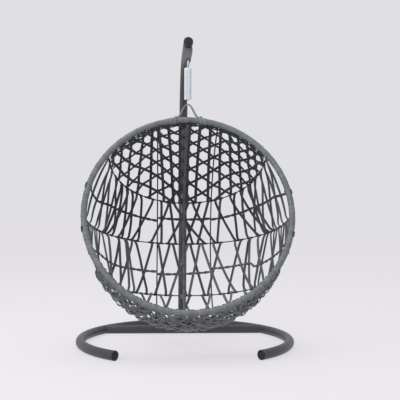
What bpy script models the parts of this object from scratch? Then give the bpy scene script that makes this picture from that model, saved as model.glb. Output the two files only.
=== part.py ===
"""Hanging egg chair on a C-shaped floor stand: a woven basket that hangs by a bail from a spring.

Metres, +Z up, +Y to the back, origin on the floor below the middle of the whole chair.
The chair is symmetric about the plane X = 0.
"""

import math

import bmesh
import bpy
from mathutils import Matrix, Vector

GAP = 0.0003  # between faces that touch on the real chair

# Stand tubes
TUBE_R = 0.024
TUBE_WALL = 0.002
TUBE_SIDES = 12
SWAGE_R = 0.0214
SWAGE_WALL = 0.0018
AXIS_Z = TUBE_R * math.cos(math.pi / TUBE_SIDES)  # the lowest facets lie flat on the floor

# Floor arc: angles are measured from the back, round to each foot
ARC_R = 0.529
ARC_Y = -0.007
ARC_STEP = 6.0
MIDDLE_ANGLE = 6.0
SHOULDER_ANGLE = 0.03
SWAGE_ANGLE = 18.0
FOOT_ANGLE = 141.2
CROSS_Y = ARC_Y + 0.306
CROSS_SCREW_ANGLE = 52.3
COPE_START = 36.0
COPE_END = 78.0
CROSS_SCREW_LENGTH = 0.070
BASE_SCREW_LENGTH = 0.016
PLUG_LENGTH = 0.060

# Post and arm
POST_Y = ARC_Y + ARC_R
POST_FOOT_Z = 0.032
SPIGOT_TOP_Z = 0.170
JOINT_Z = 0.780
SWAGE_LENGTH = 0.110
POST_SCREW_DROPS = (0.085, 0.035)
POST_SCREW_LENGTH = 0.012
ARM_Z = 1.511
BEND_R = 0.330
BEND_STEPS = 12
ARM_END_BEFORE_HOOK = 0.030

# Screws and caps
SCREW_R = 0.004
SCREW_HEAD_R = 0.0075
SCREW_HEAD_HEIGHT = 0.004
CAP_THICKNESS = 0.003
CAP_PLUG_LENGTH = 0.014
DRILL_SPARE = 0.010  # how far a drill reaches past the faces that it cuts

# Hanger, all on the vertical line at HANG_Y
HANG_Y = -0.141
PLATE_TOP_WIDTH = 0.044
PLATE_LOW_WIDTH = 0.028
PLATE_THICKNESS = 0.006
PLATE_SHOULDER = 0.020
EYE_Z = 1.425
EYE_R = 0.007
SPRING_TOP_Z = 1.387
SPRING_LOW_Z = 1.229
WIRE_R = 0.0026
COIL_R = 0.0118
COIL_TURNS = 27
COIL_STEPS = 6  # for each turn
SLEEVE_R = 0.0182
SLEEVE_WALL = 0.0014
HOOK_SWEEP = 250.0
HOOK_STEPS = 14
BAIL_R = 0.0035
BAIL_Z = 1.206
BAIL_FOOT_X = 0.054
BAIL_FOOT_GAP = 0.0015
BAIL_STEPS = 10
BAIL_SPREAD = 0.9  # under 1 rounds the crown

# Basket: x, u (up along the rim's plane) and w (depth behind it) are measured from the rim's centre
RIM_TILT = 22.0
RIM_R = 0.4825
RIM_CENTRE = Vector((0.0, HANG_Y - 0.214, 0.6764))
RIM_TUBE_R = 0.0125
RIM_TUBE_WALL = 0.002
WINDING_R = 0.0145
WINDING_BORE_R = 0.0135
RIM_STEPS = 36
SHELL_R = 0.4805
SHELL_DEPTH = 0.705
SHELL_POWER = 2.42
SHELL_DROP = 0.063
SHELL_BULGE = 0.03
SHELL_START = WINDING_R + 0.0006
ROD_R = 0.0025
RIB_X = 0.148

# Hoops and twined rows: height on the rim's plane, and slope of their plane, in degrees
HOOD_HOOP = (0.2995, -24.0)
UPPER_TWINE = (0.1505, -17.0)
BACK_HOOP = (-0.0045, -14.8)
LOWER_TWINE = (-0.0625, -23.6)
SEAT_HOOP = (-0.2645, -17.6)

# Layers of the basket's wall, as distances outward from the ribs' centre line
LAYER_GAP = 0.002
HOOP_LAYER = 2 * ROD_R + LAYER_GAP
WEAVE_OUTER = -ROD_R - LAYER_GAP
WEAVE_THICKNESS = 0.0022
TWINE_OUTER = WEAVE_OUTER - WEAVE_THICKNESS - LAYER_GAP
TWINE_THICKNESS = 0.0022
TWINE_HALF_HEIGHT = 0.006
BINDING_OUTER = TWINE_OUTER - TWINE_THICKNESS - LAYER_GAP
BINDING_HALF_WIDTH = 0.0085
PANEL_MARGIN = 0.003
PANEL_SHARES = (0.01, 0.25, 0.5, 0.75, 0.99)  # rows of a panel, from its upper hoop to its lower
PANEL_COLUMNS = 28
END_ROWS = 10
END_SHARE = 0.995  # how far back the hood and the seat reach before their edges would meet
END_COLUMNS = 12
RIB_STEPS = 32
HOOP_STEPS = 30

UP = Vector((0.0, math.sin(math.radians(RIM_TILT)), math.cos(math.radians(RIM_TILT))))
INTO = Vector((0.0, math.cos(math.radians(RIM_TILT)), -math.sin(math.radians(RIM_TILT))))
SIDE = Vector((1.0, 0.0, 0.0))
Z_AXIS = Vector((0.0, 0.0, 1.0))
HANG_LINE = Vector((0.0, HANG_Y, 0.0))


def clear_scene():
    for obj in list(bpy.data.objects):
        bpy.data.objects.remove(obj, do_unlink=True)


def material(name, colour, roughness, metallic=0.0, alpha=1.0):
    made = bpy.data.materials.new(name)
    made.use_nodes = True
    shader = made.node_tree.nodes["Principled BSDF"]
    shader.inputs["Base Color"].default_value = (*colour, 1.0)
    shader.inputs["Roughness"].default_value = roughness
    shader.inputs["Metallic"].default_value = metallic
    shader.inputs["Alpha"].default_value = alpha
    return made


def add_object(name, bm, look, parent=None, smooth=True):
    bmesh.ops.recalc_face_normals(bm, faces=bm.faces)
    mesh = bpy.data.meshes.new(name)
    bm.to_mesh(mesh)
    bm.free()
    if smooth:
        mesh.shade_smooth()
        mesh.set_sharp_from_angle(angle=math.radians(40))
    mesh.materials.append(look)
    obj = bpy.data.objects.new(name, mesh)
    bpy.context.collection.objects.link(obj)
    if parent:
        obj.parent = parent
        obj.matrix_parent_inverse = parent.matrix_world.inverted()
    return obj


def joint_empty(name, location):
    empty = bpy.data.objects.new(name, None)
    empty.empty_display_size = 0.05
    empty.matrix_world = Matrix.Translation(location)
    bpy.context.collection.objects.link(empty)
    return empty


def cut(obj, cutter):
    """Subtract a hidden cutter from an object."""
    cutter.hide_render = True
    cutter.display_type = "WIRE"
    modifier = obj.modifiers.new("cut_" + cutter.name, "BOOLEAN")
    modifier.operation = "DIFFERENCE"
    modifier.solver = "EXACT"
    modifier.object = cutter


def join(obj, other):
    """Unite a hidden helper with an object."""
    other.hide_render = True
    other.display_type = "WIRE"
    modifier = obj.modifiers.new("join_" + other.name, "BOOLEAN")
    modifier.operation = "UNION"
    modifier.solver = "EXACT"
    modifier.object = other


# Swept shapes


def path_tangents(points):
    last = len(points) - 1
    return [(points[min(i + 1, last)] - points[max(i - 1, 0)]).normalized() for i in range(last + 1)]


def arc_tangents(points, centre, axis):
    return [axis.cross(point - centre).normalized() for point in points]


def ring_of(bm, point, tangent, radius, sides, reference):
    """One ring of vertices round a path's point, with a facet facing the reference direction."""
    first = (reference - tangent * reference.dot(tangent)).normalized()
    second = tangent.cross(first)
    ring = []
    for k in range(sides):
        angle = (k + 0.5) * 2 * math.pi / sides
        offset = first * math.cos(angle) + second * math.sin(angle)
        ring.append(bm.verts.new(point + offset * radius))
    return ring


def bridge(bm, one, other):
    count = len(one)
    for k in range(count):
        bm.faces.new((one[k], one[(k + 1) % count], other[(k + 1) % count], other[k]))


def rings_of(bm, points, tangents, radii, sides, reference):
    steps = zip(points, tangents, radii)
    return [ring_of(bm, point, tangent, radius, sides, reference) for point, tangent, radius in steps]


def swept(points, radii, sides, reference, bores=None, tangents=None):
    """A rod along the points, or a tube with open ends if bores are given."""
    bm = bmesh.new()
    tangents = tangents or path_tangents(points)
    outer = rings_of(bm, points, tangents, radii, sides, reference)
    for one, other in zip(outer, outer[1:]):
        bridge(bm, one, other)
    if bores is None:
        bm.faces.new(outer[0])
        bm.faces.new(outer[-1])
        return bm
    inner = rings_of(bm, points, tangents, bores, sides, reference)
    for one, other in zip(inner, inner[1:]):
        bridge(bm, one, other)
    bridge(bm, outer[0], inner[0])
    bridge(bm, outer[-1], inner[-1])
    return bm


def rod(points, radius, sides, reference, tangents=None):
    return swept(points, [radius] * len(points), sides, reference, None, tangents)


def tube(points, radius, wall, sides, reference, tangents=None):
    count = len(points)
    return swept(points, [radius] * count, sides, reference, [radius - wall] * count, tangents)


def turned(profile, steps, pose):
    """A solid of revolution: (radius, height) pairs whose first and last lie on the axis."""
    bm = bmesh.new()
    rings = []
    for radius, height in profile[1:-1]:
        ring = []
        for k in range(steps):
            angle = 2 * math.pi * k / steps
            corner = (radius * math.cos(angle), radius * math.sin(angle), height)
            ring.append(bm.verts.new(corner))
        rings.append(ring)
    for one, other in zip(rings, rings[1:]):
        bridge(bm, one, other)
    bm.faces.new(rings[0])
    bm.faces.new(rings[-1])
    bm.transform(pose)
    return bm


def pose_along(location, direction):
    """Turn local +Z to the direction and move the origin to the location."""
    turn = Vector(direction).to_track_quat("Z", "Y").to_matrix().to_4x4()
    return Matrix.Translation(location) @ turn


def drill(name, start, direction, length):
    hole = SCREW_R + GAP
    profile = [(0, 0), (hole, 0), (hole, length), (0, length)]
    return add_object(name, turned(profile, 16, pose_along(start, direction)), LOOKS["steel"])


def screw(name, seat, inward, length):
    """A pan-head screw whose head's underside is at the seat."""
    profile = [
        (0, -SCREW_HEAD_HEIGHT),
        (SCREW_HEAD_R * 0.7, -SCREW_HEAD_HEIGHT),
        (SCREW_HEAD_R, -SCREW_HEAD_HEIGHT * 0.5),
        (SCREW_HEAD_R, 0),
        (SCREW_R, 0),
        (SCREW_R, length),
        (0, length),
    ]
    return add_object(name, turned(profile, 12, pose_along(seat, inward)), LOOKS["steel"])


# Stand


def arc_point(angle, side=1):
    """A point on the floor arc's centre line, at an angle in degrees from its back."""
    turn = math.radians(angle)
    return Vector((side * ARC_R * math.sin(turn), ARC_Y + ARC_R * math.cos(turn), AXIS_Z))


def arc_path(start, end, side=1):
    path = [arc_point(start, side)]
    angle = (math.floor(start / ARC_STEP) + 1) * ARC_STEP
    while angle < end - 0.1:
        path.append(arc_point(angle, side))
        angle += ARC_STEP
    path.append(arc_point(end, side))
    return path


def floor_tangents(path):
    return arc_tangents(path, Vector((0, ARC_Y, AXIS_Z)), Z_AXIS)


def middle_piece():
    """The arc's back, swaged at both ends, with the post's spigot welded on it."""
    half = [MIDDLE_ANGLE, MIDDLE_ANGLE + SHOULDER_ANGLE, 2 * ARC_STEP, SWAGE_ANGLE]
    angles = [-angle for angle in reversed(half)] + [0.0] + half
    path = [arc_point(angle) for angle in angles]
    radii = [SWAGE_R if abs(angle) > MIDDLE_ANGLE else TUBE_R for angle in angles]
    bores = [SWAGE_R - SWAGE_WALL] * len(angles)
    bm = swept(path, radii, TUBE_SIDES, Z_AXIS, bores, floor_tangents(path))
    middle = add_object("base_middle", bm, LOOKS["paint"])
    spigot_path = [Vector((0, POST_Y, POST_FOOT_Z)), Vector((0, POST_Y, SPIGOT_TOP_Z))]
    spigot = tube(spigot_path, SWAGE_R, SWAGE_WALL, TUBE_SIDES, SIDE)
    join(middle, add_object("spigot", spigot, LOOKS["paint"]))
    return middle


def arc_arm(side, name):
    seam_angle = SHOULDER_ANGLE + math.degrees(GAP / ARC_R / 3)
    path = arc_path(MIDDLE_ANGLE + seam_angle, FOOT_ANGLE, side)
    bm = tube(path, TUBE_R, TUBE_WALL, TUBE_SIDES, Z_AXIS, floor_tangents(path))
    return add_object("base_" + name, bm, LOOKS["paint"])


def arc_cutter(name, path):
    grown = TUBE_R + GAP / math.cos(math.pi / TUBE_SIDES)
    bm = rod(path, grown, TUBE_SIDES, Z_AXIS, floor_tangents(path))
    return add_object(name, bm, LOOKS["paint"])


def outward_at(angle, side):
    turn = math.radians(angle)
    return Vector((side * math.sin(turn), math.cos(turn), 0))


def radial_screw(name, angle, side, length, targets):
    """A screw from the arc's outer face towards its centre, through every target."""
    outward = outward_at(angle, side)
    face = arc_point(angle, side) + outward * TUBE_R
    start = face + outward * DRILL_SPARE
    hole = drill("drill_" + name, start, -outward, length + DRILL_SPARE + 3 * GAP)
    for target in targets:
        cut(target, hole)
    screw(name, face + outward * GAP, -outward, length)


def cap(name, end, direction):
    """A plastic cap: a domed disc over the tube's end with a plug inside the bore."""
    bore = (TUBE_R - TUBE_WALL) * math.cos(math.pi / TUBE_SIDES) - GAP
    face = TUBE_R * math.cos(math.pi / TUBE_SIDES)
    profile = [
        (0, -CAP_PLUG_LENGTH),
        (bore - 0.001, -CAP_PLUG_LENGTH),
        (bore, -CAP_PLUG_LENGTH + 0.002),
        (bore, GAP),
        (face, GAP),
        (face, CAP_THICKNESS * 0.6),
        (face * 0.9, CAP_THICKNESS),
        (0, CAP_THICKNESS),
    ]
    add_object(name, turned(profile, 18, pose_along(end, direction)), LOOKS["black_plastic"])


def floor_arc():
    middle = middle_piece()
    for side, name in ((-1, "left"), (1, "right")):
        arm = arc_arm(side, name)
        screw_angle = (MIDDLE_ANGLE + SWAGE_ANGLE) / 2
        radial_screw("base_screw_" + name, screw_angle, side, BASE_SCREW_LENGTH, [arm, middle])
        plug = cross_plug(side, name)
        targets = [arm, plug]
        radial_screw("cross_screw_" + name, CROSS_SCREW_ANGLE, side, CROSS_SCREW_LENGTH, targets)
        foot = arc_point(FOOT_ANGLE, side)
        cap("foot_cap_" + name, foot, foot - arc_point(FOOT_ANGLE - 0.5, side))


def cross_end(side):
    return side * math.sqrt(ARC_R**2 - (CROSS_Y - ARC_Y) ** 2)


def cross_cutter(name, side):
    return arc_cutter(name, arc_path(COPE_START, COPE_END, side))


def cross_plug(side, name):
    """The threaded plug inside the cross tube's end, which the cross screw pulls on."""
    end = cross_end(side)
    path = [Vector((x, CROSS_Y, AXIS_Z)) for x in (end - side * PLUG_LENGTH, end)]
    bm = rod(path, SWAGE_R, TUBE_SIDES, Z_AXIS)
    plug = add_object("cross_plug_" + name, bm, LOOKS["paint"])
    cut(plug, cross_cutter("cope_plug_" + name, side))
    return plug


def cross_tube():
    path = [Vector((cross_end(side), CROSS_Y, AXIS_Z)) for side in (-1, 1)]
    bm = tube(path, TUBE_R, TUBE_WALL, TUBE_SIDES, Z_AXIS)
    obj = add_object("cross_tube", bm, LOOKS["paint"])
    for side, name in ((-1, "left"), (1, "right")):
        cut(obj, cross_cutter("cope_cross_" + name, side))


def post():
    foot = Vector((0, POST_Y, POST_FOOT_Z))
    top = Vector((0, POST_Y, JOINT_Z))
    bm = tube([foot, top], TUBE_R, TUBE_WALL, TUBE_SIDES, SIDE)
    lower = add_object("post_lower", bm, LOOKS["paint"])
    cut(lower, arc_cutter("cope_post", [arc_point(a) for a in (-MIDDLE_ANGLE, 0, MIDDLE_ANGLE)]))
    upper = post_upper()
    forward = Vector((0, -1, 0))
    for number, drop in enumerate(POST_SCREW_DROPS, 1):
        face = Vector((0, POST_Y + TUBE_R, JOINT_Z - drop))
        start = face - forward * DRILL_SPARE
        hole = drill(f"drill_post_{number}", start, forward, POST_SCREW_LENGTH + DRILL_SPARE + 3 * GAP)
        cut(lower, hole)
        cut(upper, hole)
        screw(f"post_screw_{number}", face - forward * GAP, forward, POST_SCREW_LENGTH)


def post_upper():
    """The upper post, swaged to slide into the lower one, bent forward into the arm."""
    bottom = JOINT_Z - SWAGE_LENGTH
    heights = [bottom, JOINT_Z, JOINT_Z + GAP, ARM_Z - BEND_R]
    path = [Vector((0, POST_Y, z)) for z in heights]
    for k in range(1, BEND_STEPS + 1):
        turn = math.radians(90 * k / BEND_STEPS)
        y = POST_Y - BEND_R + BEND_R * math.cos(turn)
        path.append(Vector((0, y, ARM_Z - BEND_R + BEND_R * math.sin(turn))))
    path.append(Vector((0, HANG_Y - ARM_END_BEFORE_HOOK, ARM_Z)))
    radii = [SWAGE_R, SWAGE_R] + [TUBE_R] * (len(path) - 2)
    bores = [SWAGE_R - SWAGE_WALL] * 3 + [TUBE_R - TUBE_WALL] * (len(path) - 3)
    bm = swept(path, radii, TUBE_SIDES, SIDE, bores)
    cap("arm_cap", path[-1], (0, -1, 0))
    return add_object("post_upper", bm, LOOKS["paint"])


def hook_plate():
    """The flat plate under the arm's end: straight sides, round lower end, drilled eye."""
    top = ARM_Z - TUBE_R * math.cos(math.pi / TUBE_SIDES) - GAP
    half = PLATE_TOP_WIDTH / 2
    low_r = PLATE_LOW_WIDTH / 2
    outline = [(half, top), (-half, top), (-half, top - PLATE_SHOULDER)]
    round_steps = 8
    for k in range(round_steps + 1):
        angle = math.pi * (1 + k / round_steps)
        outline.append((low_r * math.cos(angle), EYE_Z + low_r * math.sin(angle)))
    outline.append((half, top - PLATE_SHOULDER))
    bm = bmesh.new()
    front = [bm.verts.new((x, HANG_Y - PLATE_THICKNESS / 2, z)) for x, z in outline]
    back = [bm.verts.new((x, HANG_Y + PLATE_THICKNESS / 2, z)) for x, z in outline]
    bm.faces.new(front)
    bm.faces.new(back)
    bridge(bm, front, back)
    plate = add_object("hook_plate", bm, LOOKS["plate"], smooth=False)
    length = PLATE_THICKNESS + 2 * DRILL_SPARE
    eye = [(0, 0), (EYE_R, 0), (EYE_R, length), (0, length)]
    start = (0, HANG_Y - length / 2, EYE_Z)
    eye_drill = turned(eye, 24, pose_along(start, (0, 1, 0)))
    cut(plate, add_object("eye_drill", eye_drill, LOOKS["plate"]))


# Hanger


def hook_path(end_z, loop_z, direction):
    """A straight leg from the coil's end, then most of a circle in the plane X = 0."""
    path = [HANG_LINE + Vector((0, COIL_R, end_z))]
    path.append(HANG_LINE + Vector((0, COIL_R, (end_z + loop_z) / 2)))
    for k in range(HOOK_STEPS + 1):
        angle = math.radians(HOOK_SWEEP * k / HOOK_STEPS)
        y = COIL_R * math.cos(angle)
        z = loop_z + direction * COIL_R * math.sin(angle)
        path.append(HANG_LINE + Vector((0, y, z)))
    return path


def sway_height():
    """Height of the upper hook's wire, whose curve rests on the edges of the plate's eye."""
    rise = COIL_R - math.sqrt(COIL_R**2 - (PLATE_THICKNESS / 2) ** 2)
    return EYE_Z - EYE_R + WIRE_R + rise + 2 * GAP


def hanger(sway, twist, stretch):
    upper_loop = sway_height() - COIL_R
    upper = hook_path(SPRING_TOP_Z + GAP, upper_loop, 1)
    add_object("upper_hook", rod(upper, WIRE_R, 8, SIDE), LOOKS["zinc"], sway)
    lower_loop = BAIL_Z - BAIL_R - GAP - WIRE_R + COIL_R
    lower = hook_path(SPRING_LOW_Z - GAP, lower_loop, -1)
    add_object("lower_hook", rod(lower, WIRE_R, 8, SIDE), LOOKS["zinc"], stretch)
    add_object("spring_coil", spring_coil(), LOOKS["zinc"], twist)
    ends = [HANG_LINE + Vector((0, 0, z)) for z in (SPRING_LOW_Z, SPRING_TOP_Z)]
    sleeve = tube(ends, SLEEVE_R, SLEEVE_WALL, 20, SIDE)
    add_object("spring_sleeve", sleeve, LOOKS["clear_plastic"], twist)


def spring_coil():
    """The close-wound body of the spring."""
    steps = COIL_TURNS * COIL_STEPS
    low = SPRING_LOW_Z + WIRE_R
    rise = SPRING_TOP_Z - SPRING_LOW_Z - 2 * WIRE_R
    path = []
    for k in range(steps + 1):
        angle = math.pi / 2 + 2 * math.pi * k / COIL_STEPS
        corner = Vector((COIL_R * math.cos(angle), COIL_R * math.sin(angle), low + rise * k / steps))
        path.append(HANG_LINE + corner)
    return rod(path, WIRE_R, 5, Z_AXIS)


# Basket


def place(x, u, w):
    """World position of a point given in the rim's own coordinates."""
    return RIM_CENTRE + SIDE * x + UP * u + INTO * w


def shell_depth(beta):
    return SHELL_DEPTH * math.sin(beta) ** (2 / SHELL_POWER)


def shell_radius_squared(w):
    share = min(max(w / SHELL_DEPTH, 0.0), 1.0)
    taper = (1 - share**SHELL_POWER) ** (1 / SHELL_POWER)
    return (SHELL_R * taper * (1 + SHELL_BULGE * math.sin(math.pi * share))) ** 2


def shell_centre(w):
    return -SHELL_DROP * w / SHELL_DEPTH


def shell_normal(x, u, w):
    """Outward direction, square to the basket's wall."""
    step = 0.0005
    slope = (shell_radius_squared(w + step) - shell_radius_squared(w - step)) / (2 * step)
    rise = u - shell_centre(w)
    along = -slope + 2 * rise * SHELL_DROP / SHELL_DEPTH
    return (SIDE * (2 * x) + UP * (2 * rise) + INTO * along).normalized()


def layer_point(point, distance):
    return place(*point) + shell_normal(*point) * distance


def start_beta():
    return math.asin((SHELL_START / SHELL_DEPTH) ** (SHELL_POWER / 2))


def last_beta(inside):
    """The last beta, from the rim towards the back, at which the plane is inside the wall."""
    low, high = start_beta(), math.pi / 2
    for _ in range(50):
        middle = (low + high) / 2
        if inside(shell_depth(middle)) > 0:
            low = middle
        else:
            high = middle
    return low


def resampled(points, count):
    """The same line with count + 1 points at equal distances."""
    lengths = [0.0]
    for one, other in zip(points, points[1:]):
        lengths.append(lengths[-1] + (Vector(other) - Vector(one)).length)
    result = []
    segment = 0
    for k in range(count + 1):
        target = lengths[-1] * k / count
        while segment < len(points) - 2 and lengths[segment + 1] < target:
            segment += 1
        span = lengths[segment + 1] - lengths[segment]
        share = (target - lengths[segment]) / span
        result.append(tuple(Vector(points[segment]).lerp(Vector(points[segment + 1]), share)))
    return result


def half_samples(end, count=120):
    start = start_beta()
    return [start + (end - start) * math.sin(math.pi / 2 * k / count) for k in range(count + 1)]


def plane_rise(level, w):
    """Height, on a hoop's plane, at depth w."""
    height, slope = level
    return height + w * math.tan(math.radians(slope + RIM_TILT))


def hoop_line(level, count):
    """Where a hoop's plane meets the wall, from the rim's left side round the back to its right."""

    def room(w):
        return shell_radius_squared(w) - (plane_rise(level, w) - shell_centre(w)) ** 2

    half = []
    for beta in half_samples(last_beta(room)):
        w = shell_depth(beta)
        half.append((math.sqrt(max(room(w), 0.0)), plane_rise(level, w), w))
    left = [(-x, u, w) for x, u, w in half]
    return resampled(left + half[-2::-1], count)


def rib_line(x, count):
    """Where the plane at x meets the wall, from the rim's top over the back to its foot."""

    def room(w):
        return shell_radius_squared(w) - x * x

    upper, lower = [], []
    for beta in half_samples(last_beta(room)):
        w = shell_depth(beta)
        reach = math.sqrt(max(room(w), 0.0))
        upper.append((x, shell_centre(w) + reach, w))
        lower.append((x, shell_centre(w) - reach, w))
    return resampled(upper + lower[-2::-1], count)


def end_grid(level, top):
    """Rows of points over the wall above (top) or below a hoop's plane, from the rim inward."""

    def room(w):
        return shell_radius_squared(w) - (plane_rise(level, w) - shell_centre(w)) ** 2

    end = last_beta(room) * END_SHARE
    start = start_beta()
    grid = []
    for i in range(END_ROWS + 1):
        w = shell_depth(start + (end - start) * math.sin(math.pi / 2 * i / END_ROWS))
        radius = math.sqrt(shell_radius_squared(w))
        edge = math.acos((plane_rise(level, w) - shell_centre(w)) / radius)
        middle, reach = (0.0, edge) if top else (math.pi, math.pi - edge)
        row = []
        for j in range(END_COLUMNS + 1):
            angle = middle + reach * (2 * j / END_COLUMNS - 1)
            row.append((radius * math.sin(angle), shell_centre(w) + radius * math.cos(angle), w))
        grid.append(row)
    return grid


def wall_panel(grid, outer, thickness):
    """A closed sheet that follows the wall over a grid of points."""
    bm = bmesh.new()
    faces = []
    for distance in (outer, outer - thickness):
        faces.append([[bm.verts.new(layer_point(p, distance)) for p in row] for row in grid])
    for sheet in faces:
        for one, other in zip(sheet, sheet[1:]):
            for j in range(len(one) - 1):
                bm.faces.new((one[j], one[j + 1], other[j + 1], other[j]))
    rims = [edge_of(sheet) for sheet in faces]
    bridge(bm, rims[0], rims[1])
    return bm


def edge_of(sheet):
    top = list(sheet[0])
    right = [row[-1] for row in sheet[1:-1]]
    bottom = list(reversed(sheet[-1]))
    left = [row[0] for row in reversed(sheet[1:-1])]
    return top + right + bottom + left


def between(level, other, share):
    return tuple(a + (b - a) * share for a, b in zip(level, other))


def moved(level, rise):
    return (level[0] + rise, level[1])


def end_panel(name, grid, parent):
    """The weave of the hood or of the seat."""
    add_object(name, wall_panel(grid, WEAVE_OUTER, WEAVE_THICKNESS), LOOKS["weave"], parent)


def back_panel(name, upper, lower, parent):
    """The weave between two hoops."""
    grid = [hoop_line(between(upper, lower, share), PANEL_COLUMNS) for share in PANEL_SHARES]
    add_object(name, wall_panel(grid, WEAVE_OUTER, WEAVE_THICKNESS), LOOKS["weave"], parent)


def twined_row(name, level, parent):
    shifts = (-TWINE_HALF_HEIGHT, TWINE_HALF_HEIGHT)
    grid = [hoop_line(moved(level, shift), PANEL_COLUMNS) for shift in shifts]
    add_object(name, wall_panel(grid, TWINE_OUTER, TWINE_THICKNESS), LOOKS["weave"], parent)


def rim(parent):
    """The rim's steel tube and the winding over it, both with their seam at the foot."""
    seam = GAP / RIM_R
    turns = [seam + (2 * math.pi - 2 * seam) * k / RIM_STEPS for k in range(RIM_STEPS + 1)]
    path = [place(-RIM_R * math.sin(t), -RIM_R * math.cos(t), 0) for t in turns]
    tangents = arc_tangents(path, RIM_CENTRE, INTO)
    steel = tube(path, RIM_TUBE_R, RIM_TUBE_WALL, 8, INTO, tangents)
    add_object("rim_tube", steel, LOOKS["steel"], parent)
    count = len(path)
    skin = swept(path, [WINDING_R] * count, 10, INTO, [WINDING_BORE_R] * count, tangents)
    winding = add_object("rim_winding", skin, LOOKS["winding"], parent)
    legs = rod(bail_path(), BAIL_R + 2 * GAP, 10, INTO)
    cut(winding, add_object("bail_slots", legs, LOOKS["steel"]))


def bail_path():
    """A bell-shaped arch in the rim's plane, its feet on the rim tube."""
    crown = (BAIL_Z - RIM_CENTRE.z) / UP.z
    foot = math.sqrt((RIM_R + RIM_TUBE_R) ** 2 - BAIL_FOOT_X**2) + BAIL_FOOT_GAP + 2 * GAP
    half = []
    for k in range(BAIL_STEPS + 1):
        share = k / BAIL_STEPS
        drop = (1 - math.cos(math.pi * share)) / 2
        half.append((BAIL_FOOT_X * share**BAIL_SPREAD, crown + (foot - crown) * drop))
    left = [place(-x, u, 0) for x, u in reversed(half)]
    return left[:-1] + [place(x, u, 0) for x, u in half]


def basket(swing):
    rim(swing)
    add_object("bail", rod(bail_path(), BAIL_R, 8, INTO), LOOKS["steel"], swing)
    hoops = {"hood_hoop": HOOD_HOOP, "back_hoop": BACK_HOOP, "seat_hoop": SEAT_HOOP}
    for name, level in hoops.items():
        path = [layer_point(p, HOOP_LAYER) for p in hoop_line(level, HOOP_STEPS)]
        square = Vector((0, -math.sin(math.radians(level[1])), math.cos(math.radians(level[1]))))
        add_object(name, rod(path, ROD_R, 6, square), LOOKS["steel"], swing)
    for name, x in (("rib_left", -RIB_X), ("rib_middle", 0.0), ("rib_right", RIB_X)):
        path = [place(*p) for p in rib_line(x, RIB_STEPS)]
        add_object(name, rod(path, ROD_R, 6, SIDE), LOOKS["steel"], swing)
    edges = [rib_line(x, RIB_STEPS) for x in (-BINDING_HALF_WIDTH, BINDING_HALF_WIDTH)]
    binding = wall_panel(edges, BINDING_OUTER, TWINE_THICKNESS)
    add_object("rib_binding", binding, LOOKS["winding"], swing)
    hood = end_grid(moved(HOOD_HOOP, PANEL_MARGIN), True)
    end_panel("hood_weave", hood, swing)
    back_panel("upper_back_weave", HOOD_HOOP, BACK_HOOP, swing)
    back_panel("lower_back_weave", BACK_HOOP, SEAT_HOOP, swing)
    seat = end_grid(moved(SEAT_HOOP, -PANEL_MARGIN), False)
    end_panel("seat_weave", seat, swing)
    twined_row("upper_twine", UPPER_TWINE, swing)
    twined_row("lower_twine", LOWER_TWINE, swing)


clear_scene()
LOOKS = {
    "paint": material("stand_paint", (0.07, 0.07, 0.08), 0.4, 0.3),
    "plate": material("plate_paint", (0.17, 0.17, 0.19), 0.45, 0.4),
    "black_plastic": material("cap_plastic", (0.02, 0.02, 0.02), 0.5),
    "steel": material("bare_steel", (0.25, 0.24, 0.23), 0.4, 0.8),
    "zinc": material("zinc_plate", (0.7, 0.73, 0.75), 0.3, 1.0),
    "clear_plastic": material("clear_sleeve", (0.85, 0.9, 0.93), 0.1, 0.0, 0.35),
    "winding": material("rim_wicker", (0.20, 0.23, 0.22), 0.55),
    "weave": material("weave_wicker", (0.06, 0.07, 0.075), 0.55),
}

floor_arc()
cross_tube()
post()
hook_plate()

sway_axis = joint_empty("sway_axis", (0, HANG_Y, sway_height()))
twist_axis = joint_empty("twist_axis", (0, HANG_Y, SPRING_TOP_Z))
stretch_axis = joint_empty("stretch_axis", (0, HANG_Y, SPRING_LOW_Z))
swing_axis = joint_empty("swing_axis", (0, HANG_Y, BAIL_Z))
hanger(sway_axis, twist_axis, stretch_axis)
basket(swing_axis)
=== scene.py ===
"""Hanging egg chair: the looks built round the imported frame, in the frame's own metres."""

import math
import random

import bpy
import numpy as np
from mathutils import Matrix, Vector


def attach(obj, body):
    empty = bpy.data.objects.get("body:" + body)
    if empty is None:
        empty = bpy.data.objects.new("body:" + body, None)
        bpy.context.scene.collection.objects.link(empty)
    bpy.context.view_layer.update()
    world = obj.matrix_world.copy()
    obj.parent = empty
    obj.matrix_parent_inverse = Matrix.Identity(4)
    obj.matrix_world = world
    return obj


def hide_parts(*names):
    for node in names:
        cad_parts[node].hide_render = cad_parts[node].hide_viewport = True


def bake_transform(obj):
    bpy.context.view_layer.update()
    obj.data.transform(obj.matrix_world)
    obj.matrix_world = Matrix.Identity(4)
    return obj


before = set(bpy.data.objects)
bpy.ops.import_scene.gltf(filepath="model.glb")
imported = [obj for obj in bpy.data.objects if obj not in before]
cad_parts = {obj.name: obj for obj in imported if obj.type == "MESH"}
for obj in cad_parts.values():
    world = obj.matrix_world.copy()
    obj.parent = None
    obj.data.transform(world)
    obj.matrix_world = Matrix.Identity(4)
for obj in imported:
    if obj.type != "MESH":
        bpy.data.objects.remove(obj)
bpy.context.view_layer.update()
SEED = 20
rng = random.Random(SEED)

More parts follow.
